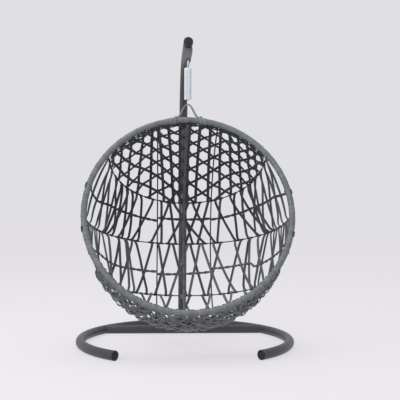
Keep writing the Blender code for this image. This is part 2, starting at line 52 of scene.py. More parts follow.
# Dimensions, in metres, shared with the solid model
TUBE_R = 0.024
AXIS_Z = TUBE_R * math.cos(math.pi / 12)
ARC_R, ARC_Y = 0.529, -0.007
FOOT_ANGLE = 141.2
CROSS_Y = ARC_Y + 0.306
POST_Y = ARC_Y + ARC_R
POST_FOOT_Z, JOINT_Z, ARM_Z, BEND_R = 0.032, 0.780, 1.511, 0.330
HANG_Y = -0.141
EYE_Z, EYE_R, PLATE_THICKNESS = 1.425, 0.007, 0.006
SPRING_TOP_Z, SPRING_LOW_Z = 1.387, 1.229
WIRE_R, COIL_R, COIL_TURNS = 0.0026, 0.0118, 27
SLEEVE_R = 0.0182
BAIL_R, BAIL_Z, BAIL_FOOT_X = 0.0035, 1.206, 0.054
RIM_TILT, RIM_R = 22.0, 0.4825
RIM_CENTRE = np.array([0.0, HANG_Y - 0.214, 0.6764])
RIM_TUBE_R, WINDING_R = 0.0125, 0.0145
SHELL_R, SHELL_DEPTH, SHELL_POWER = 0.4805, 0.705, 2.42
SHELL_DROP, SHELL_BULGE = 0.063, 0.03
SHELL_START = WINDING_R + 0.0006
RIB_X = 0.148
# Looks that differ from the solid model on purpose: the rods' visual radius and the joints' narrow ends
HOOP_ROD_R, RIB_ROD_R = 0.0029, 0.0036
ARC_TUBE_R, POST_TUBE_R, SWAGE = AXIS_Z - 0.00005, 0.0237, 0.965
# How far outside the wall (negative: inside it) the hoops and the woven covers run
HOOP_OUT, WEAVE_IN, TWINE_IN, SEAT_OUT = 0.007, -0.0056, -0.0098, 0.0085
# A double strand's width, the thickness of its loops, and how far it turns edge-on at the sides
STRAND, LOOP_THICKNESS, SIDE_TURN = 0.0142, 0.0022, 0.9
# Level lines round the shell: height over the rim's centre and slope in degrees
HOOD_HOOP = (0.2995, -24.0)
UPPER_TWINE = (0.1505, -17.0)
BACK_HOOP = (-0.0045, -14.8)
LOWER_TWINE = (-0.0625, -23.6)
SEAT_HOOP = (-0.2645, -17.6)

# The hood's columns of hexagons as woven by hand, in millimetres: number from the middle, distance from the
# middle near the rim and near the hoop, and the rows' first distance from the rim and their pitch
HOOD_COLUMNS = (
    (-9, -425, -470, -345, 96), (-7, -352, -385, -240, 100), (-6, -308, -342, -184, 103),
    (-5, -252, -289, -108, 96), (-4, -200, -228, -90, 95), (-3, -160, -153, -73, 98),
    (-2, -124, -90, -31, 97), (-1, -62, -49, 13, 90), (0, -12, -7, 4, 96),
    (1, 38, 31, -4, 100), (2, 90, 98, -13, 101), (3, 144, 157, -13, 97),
    (4, 197, 220, -26, 91), (5, 238, 280, 25, 74), (6, 287, 338, 6, 73),
    (7, 322, 392, -4, 67), (8, 360, 440, -45, 62), (9, 395, 480, -60, 62),
)  # fmt: skip
# The back's strands as hung by hand: millimetres along the upper and the lower hoop from their middles
UPPER_RUNS = (
    (-79, -45), (-85, -190), (-131, -126), (21, -91), (-180, -311), (-263, -267), (-292, -408),
    (-330, -336), (-380, -380), (-368, -500), (-430, -454), (-57, 117), (-11, 50), (47, 178), (86, 8),
    (134, 77), (176, 304), (213, 193), (272, 472), (310, 322), (350, 560), (375, 388), (448, 525),
    (424, 600), (-440, -528),
)  # fmt: skip
LOWER_RUNS = (
    (-79, -162), (-143, -98), (-178, -271), (-284, -207), (-302, -415), (-356, -331), (-345, -290),
    (-405, -520), (-402, -395), (-500, -480), (24, -79), (-61, 12), (35, 112), (92, 26), (103, 199),
    (163, 292), (211, 130), (295, 418), (338, 249), (402, 354), (405, 404), (470, 540), (525, 440),
)  # fmt: skip
# Where the twined rows stray from a level line, as shares of each stretch from its start, and metres
UPPER_STRAY = (
    ((0, -0.030), (0.3, -0.024), (0.5, -0.002), (0.78, -0.004), (1, -0.011)),
    ((0, 0.004), (1, 0.002)),
    ((0, -0.004), (0.4, 0.007), (0.7, -0.003), (1, -0.051)),
)
LOWER_STRAY = (
    ((0, -0.030), (0.26, -0.030), (0.45, -0.009), (0.63, -0.022), (0.83, -0.007), (1, 0.0)),
    ((0, -0.014), (1, -0.001)),
    ((0, 0.018), (0.2, 0.010), (0.33, 0.0), (0.345, -0.030), (0.7, -0.037), (1, -0.045)),
)

# Strands stop short of the rim's plane by the first, and those that end within the second loop round the rim
STOP, NEAR_RIM = 0.010, 0.03

TILT = math.radians(RIM_TILT)
UP = np.array([0.0, math.sin(TILT), math.cos(TILT)])
INTO = np.array([0.0, math.cos(TILT), -math.sin(TILT)])
SIDE = np.array([1.0, 0.0, 0.0])


# Camera, floor and light


def make_camera():
    """The camera at the photo's viewpoint, as fitted to the stand's arc and the basket's rim."""
    yaw, pitch, roll = 0.0568494, -0.0208131, 0.0060259
    ahead = Vector((math.sin(yaw) * math.cos(pitch), math.cos(yaw) * math.cos(pitch), -math.sin(pitch)))
    level = Vector((math.cos(yaw), -math.sin(yaw), 0.0))
    over = level.cross(ahead)
    right = level * math.cos(roll) + over * math.sin(roll)
    above = over * math.cos(roll) - level * math.sin(roll)
    data = bpy.data.cameras.new("camera")
    data.lens = 62.1
    data.sensor_width = 36.0
    camera = bpy.data.objects.new("camera", data)
    turn = Matrix((right, above, -ahead)).transposed().to_4x4()
    camera.matrix_world = Matrix.Translation((-0.1303, -3.5517, 0.6612)) @ turn
    bpy.context.scene.collection.objects.link(camera)
    bpy.context.scene.camera = camera


def area_light(name, location, target, size, power):
    data = bpy.data.lights.new(name, "AREA")
    data.shape = "RECTANGLE"
    data.size, data.size_y = size
    data.energy = power
    light = bpy.data.objects.new(name, data)
    light.location = location
    aim = Vector(target) - Vector(location)
    light.rotation_euler = aim.to_track_quat("-Z", "Y").to_euler()
    bpy.context.scene.collection.objects.link(light)


def make_studio():
    """A bright, even studio: a pale world, three soft lights and a paper floor that glows a little."""
    scene = bpy.context.scene
    scene.view_settings.view_transform = "Standard"
    world = bpy.data.worlds.new("studio")
    world.use_nodes = True
    feed(world.node_tree.nodes["Background"], {"Color": (0.745, 0.735, 0.765), "Strength": 1.0})
    scene.world = world
    area_light("key", (-3.0, -3.0, 3.2), (0, 0, 0.6), (2.6, 2.0), 98)
    area_light("fill", (2.6, -3.4, 1.4), (0, 0, 0.6), (1.6, 2.4), 2)
    area_light("top", (-0.2, -0.4, 4.2), (0, 0, 0), (3.2, 3.2), 50)
    half = 40.0
    mesh = bpy.data.meshes.new("floor")
    corners = [(-half, -half, 0), (half, -half, 0), (half, half, 0), (-half, half, 0)]
    mesh.from_pydata(corners, [], [(0, 1, 2, 3)])
    floor = bpy.data.objects.new("floor", mesh)
    scene.collection.objects.link(floor)
    paper, _, shader = new_material("floor_paper")
    feed(shader, {"Base Color": (0.22, 0.215, 0.22), "Roughness": 0.95, "Specular IOR Level": 0.0})
    feed(shader, {"Emission Color": (0.985, 0.965, 1.0), "Emission Strength": 0.60})
    mesh.materials.append(paper)


# Materials. A node's inputs are given as a dictionary of values and of sockets to link.


def feed(target, inputs):
    for key, value in inputs.items():
        socket = target.inputs[key]
        if hasattr(value, "is_linked"):
            target.id_data.links.new(value, socket)
        else:
            socket.default_value = (*value, 1) if socket.type == "RGBA" else value


def node(tree, kind, inputs, **settings):
    """A new node, with its settings and its inputs."""
    made = tree.nodes.new("ShaderNode" + kind)
    for key, value in settings.items():
        setattr(made, key, value)
    feed(made, inputs)
    return made


def new_material(name):
    material = bpy.data.materials.new(name)
    material.use_nodes = True
    tree = material.node_tree
    return material, tree, tree.nodes["Principled BSDF"]


def noise(tree, vector, scale, detail=3.0, roughness=0.55):
    inputs = {"Vector": vector, "Scale": scale, "Detail": detail, "Roughness": roughness}
    return node(tree, "TexNoise", inputs).outputs["Fac"]


def ramp(tree, factor, *stops):
    made = node(tree, "ValToRGB", {"Fac": factor})
    elements = made.color_ramp.elements
    while len(elements) < len(stops):
        elements.new(0.5)
    for element, (position, colour) in zip(elements, stops):
        element.position = position
        element.color = (*colour, 1)
    return made.outputs["Color"]


def mapped(tree, factor, low, high):
    return node(tree, "MapRange", {"Value": factor, "To Min": low, "To Max": high}).outputs["Result"]


def mixed(tree, factor, one, other):
    return node(tree, "Mix", {"Factor": factor, "A": one, "B": other}, data_type="RGBA").outputs["Result"]


def math_node(tree, operation, one, other):
    return node(tree, "Math", {0: one, 1: other}, operation=operation).outputs["Value"]


def bump(tree, height, distance, strength):
    inputs = {"Height": height, "Distance": distance, "Strength": strength}
    return node(tree, "Bump", inputs).outputs["Normal"]


def object_place(tree):
    return node(tree, "TexCoord", {}).outputs["Object"]


def wicker(name, tones, roughness):
    """Extruded synthetic wicker: fine grain along each strand, whose shade value picks the tone. That value
    is a random tone plus painted light and shade, set by where the strand lies.
    """
    material, tree, shader = new_material(name)
    along, across, shade = (
        node(tree, "Attribute", {}, attribute_name=key).outputs["Fac"] for key in STRAND_VALUES
    )
    spread = {"X": (along, 14.0), "Y": (across, 3.2), "Z": (shade, 60.0)}
    where = {axis: math_node(tree, "MULTIPLY", *pair) for axis, pair in spread.items()}
    grain = noise(tree, node(tree, "CombineXYZ", where).outputs["Vector"], 2.6, 4.0, 0.65)
    blotch = noise(tree, object_place(tree), 34.0, 2.0)
    tone = math_node(tree, "ADD", shade, math_node(tree, "MULTIPLY", grain, 0.24))
    tone = math_node(tree, "ADD", tone, math_node(tree, "MULTIPLY", blotch, 0.20))
    tone = math_node(tree, "SUBTRACT", tone, 0.22)
    colour = ramp(tree, tone, *zip((0.0, 0.5, 1.0), tones))
    rough = mapped(tree, grain, roughness - 0.12, roughness + 0.12)
    feed(shader, {"Base Color": colour, "Roughness": rough, "Specular IOR Level": 0.35})
    feed(shader, {"Normal": bump(tree, grain, 0.0004, 0.5)})
    return material


def paint(name, colour, worn, roughness):
    """Powder coat: a fine orange-peel skin, cloudy gloss and a few paler rubbed places."""
    material, tree, shader = new_material(name)
    where = object_place(tree)
    cloud = noise(tree, where, 9.0, 4.0)
    rub = ramp(tree, noise(tree, where, 38.0, 5.0, 0.7), (0.58, (0, 0, 0)), (0.74, (1, 1, 1)))
    body = mixed(tree, cloud, tuple(c * 0.86 for c in colour), colour)
    colour = mixed(tree, math_node(tree, "MULTIPLY", rub, 0.35), body, worn)
    rough = mapped(tree, cloud, roughness - 0.08, roughness + 0.1)
    feed(shader, {"Base Color": colour, "Roughness": rough})
    feed(shader, {"Normal": bump(tree, noise(tree, where, 900.0, 2.0), 0.0002, 0.35)})
    return material


def plate_paint(name):
    """The plate's paler grey paint, with painted shade round the eye."""
    material = paint(name, (0.135, 0.130, 0.145), (0.22, 0.21, 0.23), 0.45)
    tree = material.node_tree
    shader = tree.nodes["Principled BSDF"]
    under = shader.inputs["Base Color"].links[0].from_socket
    # Painted shade: near black out to 7.5 mm from the eye's middle, fading out by 15.5 mm.
    apart = node(tree, "VectorMath", {0: object_place(tree), 1: (0, HANG_Y, EYE_Z)}, operation="DISTANCE")
    reach = math_node(tree, "MULTIPLY", apart.outputs["Value"], 40.0)
    eye_shade = ramp(tree, reach, (0.30, (1, 1, 1)), (0.62, (0, 0, 0)))
    feed(shader, {"Base Color": mixed(tree, eye_shade, under, (0.018, 0.017, 0.018))})
    return material


def moulded(name, colour, roughness):
    """Moulded plastic with a fine spark-eroded grain and a little dust."""
    material, tree, shader = new_material(name)
    where = object_place(tree)
    dusty = tuple(c * 1.9 + 0.01 for c in colour)
    colour = ramp(tree, noise(tree, where, 60.0, 4.0), (0.3, colour), (0.85, dusty))
    feed(shader, {"Base Color": colour, "Roughness": roughness, "Specular IOR Level": 0.3})
    feed(shader, {"Normal": bump(tree, noise(tree, where, 1400.0, 2.0), 0.0002, 0.5)})
    return material


def plated(name, colour, roughness, metallic=1.0):
    """Plated metal: bright, with duller patches."""
    material, tree, shader = new_material(name)
    where = object_place(tree)
    patch = noise(tree, where, 60.0, 3.0)
    colour = ramp(tree, patch, (0.3, tuple(c * 0.80 for c in colour)), (0.7, colour))
    rough = mapped(tree, patch, roughness + 0.12, roughness - 0.06)
    feed(shader, {"Base Color": colour, "Roughness": rough, "Metallic": metallic})
    feed(shader, {"Normal": bump(tree, noise(tree, where, 700.0, 2.0), 0.0001, 0.15)})
    return material


def clear_sleeve(name):
    """Milky clear PVC sleeve with painted streaks of highlight and shade along it."""
    material, tree, shader = new_material(name)
    stretch = node(tree, "Mapping", {"Vector": object_place(tree), "Scale": (1.0, 1.0, 0.004)})
    # Painted highlights and shade: the streaks run from grey to near white down the sleeve, and they also
    # raise its alpha a little and give the bump.
    lines = noise(tree, stretch.outputs["Vector"], 420.0, 2.0)
    tone = ramp(tree, lines, (0.42, (0.50, 0.57, 0.61)), (0.56, (0.93, 0.97, 1.0)))
    facing = node(tree, "LayerWeight", {"Blend": 0.35}).outputs["Facing"]
    glassy = ramp(tree, facing, (0.35, (0.46, 0.46, 0.46)), (0.85, (0.86, 0.86, 0.86)))
    solid = math_node(tree, "ADD", glassy, mapped(tree, lines, 0.02, 0.16))
    feed(shader, {"Base Color": tone, "Roughness": 0.12, "Alpha": solid})
    feed(shader, {"Coat Weight": 0.6, "Coat Roughness": 0.05, "Normal": bump(tree, lines, 0.0001, 0.3)})
    return material


# Meshes

STRAND_VALUES = ("along", "across", "shade")


def ring_faces(start, rings, size, inside_out=False, caps=True):
    """The quads between successive rings of points, then the two ends, all turned over if inside_out."""
    faces = []
    for row in range(rings - 1):
        one = start + row * size
        for a in range(size):
            b = (a + 1) % size
            faces.append((one + a, one + b, one + size + b, one + size + a))
    if caps:
        last = start + (rings - 1) * size
        faces.append(tuple(range(start + size - 1, start - 1, -1)))
        faces.append(tuple(range(last, last + size)))
    return [(face[0], *face[:0:-1]) for face in faces] if inside_out else faces


def smooth_mesh(name, points, faces, sharp=50):
    mesh = bpy.data.meshes.new(name)
    mesh.from_pydata(points, [], faces)
    mesh.shade_smooth()
    mesh.set_sharp_from_angle(angle=math.radians(sharp))
    return mesh


def place_piece(name, mesh, look, body, *nodes):
    """Put a piece on its body, with its look's slot and the nodes it stands for."""
    mesh.materials.append(LOOKS[look])
    piece = bpy.data.objects.new(name, mesh)
    bpy.context.scene.collection.objects.link(piece)
    if body:
        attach(piece, body)
    if nodes:
        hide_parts(*nodes)
    return piece


class Strands:
    """Swept strips and rods gathered into one mesh, with how far along and across each point is."""

    def __init__(self):
        self.points, self.faces, self.values = [], [], []
        self.count = 0

    def skin(self, rings, along, across, shade, caps=True):
        """Add a tube of rings of points, with its faces outward, and what wicker reads at the points."""
        middle = rings[0].mean(0)
        spoke = rings[0] - middle
        facing = np.cross(spoke, np.roll(spoke, -1, axis=0)).sum(0) @ (rings[1].mean(0) - middle)
        self.faces += ring_faces(self.count, len(rings), len(across), facing < 0, caps)
        values = np.empty(rings.shape)
        values[..., 0] = along[:, None]
        values[..., 1] = across / np.abs(across).max()
        values[..., 2] = shade
        self.points.append(rings.reshape(-1, 3))
        self.values.append(values.reshape(-1, 3))
        self.count += rings.shape[0] * rings.shape[1]

    def sweep(self, path, normals, section, shade, scales=1.0, caps=True):
        """Sweep a section along a path. normals is one direction or one for each point of the path."""
        path = np.asarray(path, float)
        tangents = np.gradient(path, axis=0)
        tangents /= np.linalg.norm(tangents, axis=1)[:, None] + 1e-12
        normals = normals - tangents * (normals * tangents).sum(1)[:, None]
        normals /= np.linalg.norm(normals, axis=1)[:, None] + 1e-12
        sides = np.cross(tangents, normals)
        sizes = np.broadcast_to(scales, len(path))[:, None, None] * section[None]
        rings = path[:, None] + sides[:, None] * sizes[..., :1] + normals[:, None] * sizes[..., 1:]
        self.skin(rings, arc_lengths(path) + shade * 3.7, section[:, 0], shade, caps)

    def build(self, name, *nodes, look="weave_wicker", body="basket"):
        mesh = smooth_mesh(name, np.vstack(self.points).tolist(), self.faces)
        values = np.vstack(self.values)
        for index, key in enumerate(STRAND_VALUES):
            layer = mesh.attributes.new(key, "FLOAT", "POINT")
            layer.data.foreach_set("value", values[:, index].astype(np.float32))
        return place_piece(name, mesh, look, body, *nodes)


def rod(name, path, normals, radius, steps, look, body, node_name, shade=0.5, scales=1.0):
    """One round rod or tube, which stands for one node."""
    made = Strands()
    made.sweep(path, normals, round_section(radius, steps), shade, scales)
    return made.build(name, node_name, look=look, body=body)


def arc_lengths(path):
    return np.r_[0, np.cumsum(np.linalg.norm(np.diff(path, axis=0), axis=1))]


def resampled(rows, lengths, s):
    """Rows given at arc lengths, interpolated at others."""
    return np.stack([np.interp(s, lengths, column) for column in rows.T], 1)


def smoothed(path, passes):
    """A path or a list of values, each inner one drawn towards its neighbours."""
    for _ in range(passes):
        path[1:-1] = (path[:-2] + 2 * path[1:-1] + path[2:]) / 4
    return path


def circle(steps, offset=0.0):
    return (np.arange(steps) + offset) * 2 * math.pi / steps


def round_section(radius, steps):
    return np.c_[np.cos(circle(steps)), np.sin(circle(steps))] * radius


def flat_section(width, thickness, steps=10):
    """A flat strand's cross-section, with round edges."""
    power = 2 / 3.2
    cosines, sines = np.cos(circle(steps, 0.5)), np.sin(circle(steps, 0.5))
    across, high = (np.sign(v) * np.abs(v) ** power for v in (cosines, sines))
    return np.c_[across * width / 2, high * thickness / 2]


def twin_section(width, thickness):
    """Two flat strands side by side, as one section with a groove down each face."""
    xs = np.array([-0.5, -0.46, -0.30, -0.08, 0.0, 0.08, 0.30, 0.46])
    ys = np.array([0.0, 0.36, 0.50, 0.44, 0.22, 0.44, 0.50, 0.36])
    top = np.c_[xs * width, ys * thickness]
    return np.vstack([top[::-1], -top[::-1]])


def lathe(name, profile, steps, location, direction, look, node_name):
    """A turned piece from (radius, height) pairs, whose axis is the direction."""
    turn = Vector(direction).to_track_quat("Z", "Y").to_matrix().to_4x4()
    pose = Matrix.Translation(Vector(location)) @ turn
    spokes = [(math.cos(angle), math.sin(angle)) for angle in circle(steps)]
    points = [pose @ Vector((r * x, r * y, height)) for r, height in profile for x, y in spokes]
    mesh = smooth_mesh(name, points, ring_faces(0, len(profile), steps), 35)
    place_piece(name, mesh, look, "stand", node_name)


# Stand


def arc_point(angle, side=1):
    turn = math.radians(angle)
    return np.array([side * ARC_R * math.sin(turn), ARC_Y + ARC_R * math.cos(turn), AXIS_Z])


def stand_tube(node_name, path, radius, normals, scales=1.0):
    rod(node_name + "_tube", path, normals, radius, 40, "stand_paint", "stand", node_name, scales=scales)


def cap_piece(node_name, end, direction, radius):
    """A pressed-in end cap, with a groove round its face and a moulding mark at its middle."""
    groove = radius * 0.86
    profile = [(radius * share, height) for share, height in ((0.9, -0.004), (0.97, -0.0002))]
    profile += [(radius, 0.0004), (radius, 0.0016), (radius * 0.96, 0.0026)]
    profile += [(groove + 0.0008, 0.0029), (groove, 0.0024), (groove - 0.0008, 0.0029)]
    profile += [(radius * share, height) for share, height in ((0.42, 0.0031), (0.39, 0.0026))]
    profile += [(radius * 0.36, 0.0031), (radius * 0.1, 0.0031)]
    lathe(node_name + "_moulded", profile, 48, end, direction, "cap_plastic", node_name)


def screw_piece(node_name, seat, inward):
    """A pan-head screw with a socket turned into its head."""
    head, high = 0.0075, 0.004
    shares = ((1, 0), (1, 0.35), (0.9, 0.75), (0.62, 1), (0.46, 1), (0.42, 0.55), (0.1, 0.5))
    profile = [(0.0039, 0.0004)] + [(head * wide, -high * deep) for wide, deep in shares]
    lathe(node_name + "_head", profile[::-1], 28, seat, inward, "screw_steel", node_name)


def weld_bead(made, path, normals, radius):
    """A rippled fillet of weld along a joint."""
    steps = np.arange(len(path))
    scales = 1.0 + 0.16 * np.sin(steps * 1.9) + 0.06 * np.sin(steps * 0.7)
    made.sweep(path, normals, round_section(radius, 8), 0.4, scales)


def make_stand():
    """The floor arc's three tubes, the cross tube, the post in two, and their caps, screws and welds."""
    up, joint, gap = (0.0, 0.0, 1.0), 6.0, 0.06
    for side, name in ((-1, "left"), (1, "right")):
        path = [arc_point(angle, side) for angle in np.linspace(joint + gap, FOOT_ANGLE, 120)]
        stand_tube("base_" + name, path, ARC_TUBE_R, up)
        end = arc_point(FOOT_ANGLE, side)
        cap_piece("foot_cap_" + name, end, end - arc_point(FOOT_ANGLE - 0.5, side), ARC_TUBE_R)
        for key, angle in (("base_screw_", 12.0), ("cross_screw_", 52.3)):
            out = np.array([side * math.sin(math.radians(angle)), math.cos(math.radians(angle)), 0])
            screw_piece(key + name, arc_point(angle, side) + out * (TUBE_R - 0.0006), -out)
    stand_tube("base_middle", [arc_point(angle) for angle in np.linspace(-joint, joint, 15)], ARC_TUBE_R, up)
    half = math.sqrt(ARC_R**2 - (CROSS_Y - ARC_Y) ** 2) - 0.004
    stand_tube("cross_tube", [(x, CROSS_Y, AXIS_Z) for x in np.linspace(-half, half, 9)], ARC_TUBE_R, up)
    heights = (POST_FOOT_Z, 0.2, 0.5, JOINT_Z - 0.0012, JOINT_Z)
    stand_tube("post_lower", [(0, POST_Y, z) for z in heights], POST_TUBE_R, SIDE, [1, 1, 1, 1, SWAGE])
    path = [(0, POST_Y, z) for z in (JOINT_Z + 0.0004, JOINT_Z + 0.002, 1.0, ARM_Z - BEND_R)]
    for turn in np.linspace(0, math.pi / 2, 49)[1:]:
        path.append((0, POST_Y - BEND_R * (1 - math.cos(turn)), ARM_Z - BEND_R * (1 - math.sin(turn))))
    path += [(0, y, ARM_Z) for y in (0.1, 0.0, HANG_Y - 0.030)]
    stand_tube("post_upper", path, POST_TUBE_R, SIDE, [SWAGE] + [1] * (len(path) - 1))
    cap_piece("arm_cap", (0, HANG_Y - 0.0303, ARM_Z), (0, -1, 0), POST_TUBE_R)
    for number, drop in ((1, 0.085), (2, 0.035)):
        screw_piece(f"post_screw_{number}", (0, POST_Y + TUBE_R - 0.0004, JOINT_Z - drop), (0, -1, 0))
    foot_weld()
    make_plate()


def foot_weld():
    """The fillet where the post's foot meets the floor arc."""
    made = Strands()
    reach = 0.0243
    points, normals = [], []
    for turn in np.linspace(0, 2 * math.pi, 97):
        x, y = reach * math.cos(turn), reach * math.sin(turn)
        high = AXIS_Z + (math.sqrt(AXIS_Z**2 - y * y) if abs(y) < AXIS_Z else 0.004)
        points.append([x, POST_Y + y, max(high, POST_FOOT_Z + 0.001)])
        normals.append([math.cos(turn), math.sin(turn), 0.4])
    weld_bead(made, points, np.array(normals), 0.0022)
    made.build("foot_weld", look="stand_paint", body="stand")


def make_plate():
    """The hanging plate: bevelled edges, drilled eye and a weld to the arm on both faces."""
    top = ARM_Z - POST_TUBE_R + 0.0006
    half_top, low_r, shoulder = 0.022, 0.014, 0.020
    turns = np.linspace(math.pi, 2 * math.pi, 25)
    low_end = [(low_r * math.cos(a), EYE_Z + low_r * math.sin(a)) for a in turns]
    corners = [(half_top, top), (-half_top, top), (-half_top, top - shoulder)]
    outline = corners + low_end + [(half_top, top - shoulder)]
    eye = [(EYE_R * math.cos(a), EYE_Z + EYE_R * math.sin(a)) for a in circle(32)]
    bevel = 0.0006
    curve = bpy.data.curves.new("hook_plate_cut", "CURVE")
    curve.dimensions = "2D"
    curve.fill_mode = "BOTH"
    curve.extrude = PLATE_THICKNESS / 2 - bevel
    curve.bevel_depth = bevel
    curve.bevel_resolution = 2
    curve.offset = -bevel
    for ring in (outline, eye):
        spline = curve.splines.new("POLY")
        spline.points.add(len(ring) - 1)
        spline.use_cyclic_u = True
        for point, (x, z) in zip(spline.points, ring):
            point.co = (x, z, 0, 1)
    temporary = bpy.data.objects.new("hook_plate_curve", curve)
    bpy.context.scene.collection.objects.link(temporary)
    bpy.context.view_layer.update()
    mesh = bpy.data.meshes.new_from_object(temporary)
    bpy.data.objects.remove(temporary)
    mesh.transform(Matrix.Translation((0, HANG_Y, 0)) @ Matrix.Rotation(math.pi / 2, 4, "X"))
    mesh.materials.clear()
    place_piece("hook_plate_cut", mesh, "plate_paint", "stand", "hook_plate")
    made = Strands()
    for face in (-1, 1):
        y = HANG_Y + face * (PLATE_THICKNESS / 2 + 0.0008)
        points = [(x, y, arm_under(x)) for x in np.linspace(-half_top + 0.002, half_top - 0.002, 60)]
        weld_bead(made, points, (0, face, -1.0), 0.0021)
    made.build("plate_weld", look="stand_paint", body="stand")


def arm_under(x):
    return ARM_Z - math.sqrt(POST_TUBE_R**2 - x * x)


# Hanger


def hook_points(end_z, loop_z, direction):
    """A straight leg from the coil's end, then most of a circle in the plane X = 0."""
    path = [(0, HANG_Y + COIL_R, end_z), (0, HANG_Y + COIL_R, end_z * 0.5 + loop_z * 0.5)]
    for angle in np.radians(np.linspace(0, 250, 45)):
        path.append((0, HANG_Y + COIL_R * math.cos(angle), loop_z + direction * COIL_R * math.sin(angle)))
    return path


def make_hanger():
    """The spring's two hooks and its coil, whose length follows both of its ends."""
    rise = COIL_R - math.sqrt(COIL_R**2 - (PLATE_THICKNESS / 2) ** 2)
    sway_z = EYE_Z - EYE_R + WIRE_R + rise + 0.0006
    upper = hook_points(SPRING_TOP_Z + 0.0003, sway_z - COIL_R, 1)
    lower = hook_points(SPRING_LOW_Z - 0.0003, BAIL_Z - BAIL_R - 0.0003 - WIRE_R + COIL_R, -1)
    for name, path, body in (("upper_hook", upper, "top_hook"), ("lower_hook", lower, "spring_end")):
        rod(name + "_wire", path, SIDE, WIRE_R, 14, "zinc_spring", body, name)
    per_turn = 22
    k = np.arange(COIL_TURNS * per_turn + 1)
    angle = math.pi / 2 + 2 * math.pi * k / per_turn
    low, run = SPRING_LOW_Z + WIRE_R, SPRING_TOP_Z - SPRING_LOW_Z - 2 * WIRE_R
    path = np.c_[COIL_R * np.cos(angle), HANG_Y + COIL_R * np.sin(angle), low + run * k / k[-1]]
    normals = np.c_[np.cos(angle), np.sin(angle), 0 * angle]
    coil = rod("spring_coil_wire", path, normals, WIRE_R, 10, "zinc_spring", None, "spring_coil")
    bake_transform(coil)
    make_sleeve()


def make_sleeve():
    """The clear sleeve, whose cut ends are a little out of square: its outside down, then its inside up."""
    steps, wall = 48, 0.0012
    angle = circle(steps)
    top_end, low_end = -0.0008 * (1 + np.sin(2 * angle + 0.6)), 0.0016 * (1 + np.cos(angle - 0.5))
    rows = [(drop, 0 * angle) for drop in (0.02, 0.05, 0.08, 0.11, 0.138)]
    rows = [(0, top_end), (0.002, top_end), *rows, (0.156, low_end), (0.158, low_end)]
    rings = []
    for radius, order in ((SLEEVE_R, rows), (SLEEVE_R - wall, rows[::-1]), (SLEEVE_R, rows[:1])):
        for drop, end in order:
            height = SPRING_TOP_Z - drop + end
            rings.append(np.c_[radius * np.cos(angle), HANG_Y + radius * np.sin(angle), height])
    points = np.vstack(rings[:-1])
    faces = ring_faces(0, len(rings), steps, inside_out=True, caps=False)
    faces = [tuple(corner % len(points) for corner in face) for face in faces]
    mesh = smooth_mesh("spring_sleeve_tube", points.tolist(), faces)
    place_piece("spring_sleeve_tube", mesh, "clear_sleeve", "spring", "spring_sleeve")


# Basket surface: x, u (up along the rim's plane) and w (depth behind it), from the rim's centre


def place(x, u, w):
    x, u, w = (np.asarray(v, float)[..., None] for v in (x, u, w))
    return RIM_CENTRE + SIDE * x + UP * u + INTO * w


def radius_squared(w):
    """The squared radius of the shell's round section at a depth."""
    share = np.clip(np.asarray(w, float) / SHELL_DEPTH, 0, 1)
    taper = (1 - share**SHELL_POWER) ** (1 / SHELL_POWER)
    return (SHELL_R * taper * (1 + SHELL_BULGE * np.sin(math.pi * share))) ** 2


def centre_of(w):
    return -SHELL_DROP * np.asarray(w, float) / SHELL_DEPTH


def wall_normal(x, u, w):
    step = 0.0005
    slope = (radius_squared(w + step) - radius_squared(w - step)) / (2 * step)
    rise = u - centre_of(w)
    along = -slope + 2 * rise * SHELL_DROP / SHELL_DEPTH
    found = SIDE * (2 * x)[..., None] + UP * (2 * rise)[..., None] + INTO * along[..., None]
    return found / np.linalg.norm(found, axis=-1, keepdims=True)


def wall_points(x, u, w, out):
    """Points a distance outside the wall, and the wall's outward normals there."""
    normals = wall_normal(x, u, w)
    return place(x, u, w) + normals * np.asarray(out, float)[..., None], normals


def plane_rise(level, w):
    """The u at a depth of a level line's plane, given as height at the rim's centre and slope."""
    return level[0] + np.asarray(w, float) * math.tan(math.radians(level[1] + RIM_TILT))


def depth_samples(end_room):
    """Depths from the rim to where a plane leaves the wall, close together at its far end."""
    beta = np.linspace(math.asin((0.004 / SHELL_DEPTH) ** (SHELL_POWER / 2)), math.pi / 2, 6000)
    w = SHELL_DEPTH * np.sin(beta) ** (2 / SHELL_POWER)
    room = end_room(w)
    inside = np.argmax(room < 0) if (room < 0).any() else len(w)
    return w[:inside], room[:inside]


def half_hoop(level):
    """The right half of a level line: arc length from the middle, and x, u, w along it."""
    w, room = depth_samples(lambda d: radius_squared(d) - (plane_rise(level, d) - centre_of(d)) ** 2)
    x, u = np.sqrt(np.maximum(room, 0)), plane_rise(level, w)
    x = np.r_[x, 0.0][::-1]
    u = np.r_[u, u[-1]][::-1]
    w = np.r_[w, w[-1] + 1e-5][::-1]
    steps = np.sqrt(np.diff(x) ** 2 + np.diff(u) ** 2 + np.diff(w) ** 2)
    return np.r_[0, np.cumsum(steps)], x, u, w


def on_hoop(line, s):
    """Points of a level line at signed arc lengths from its middle."""
    s = np.asarray(s, float)
    lengths, x, u, w = line
    found = [np.interp(np.abs(s), lengths, v) for v in (x, u, w)]
    return found[0] * np.sign(s), found[1], found[2]


def at_width(line, x, what=0):
    """A level line's arc length where it is x from the middle plane, or its u or w (numbers 2 and 3)."""
    widest = int(np.argmax(line[1])) + 1
    return np.interp(np.abs(x), line[1][:widest], line[what][:widest])


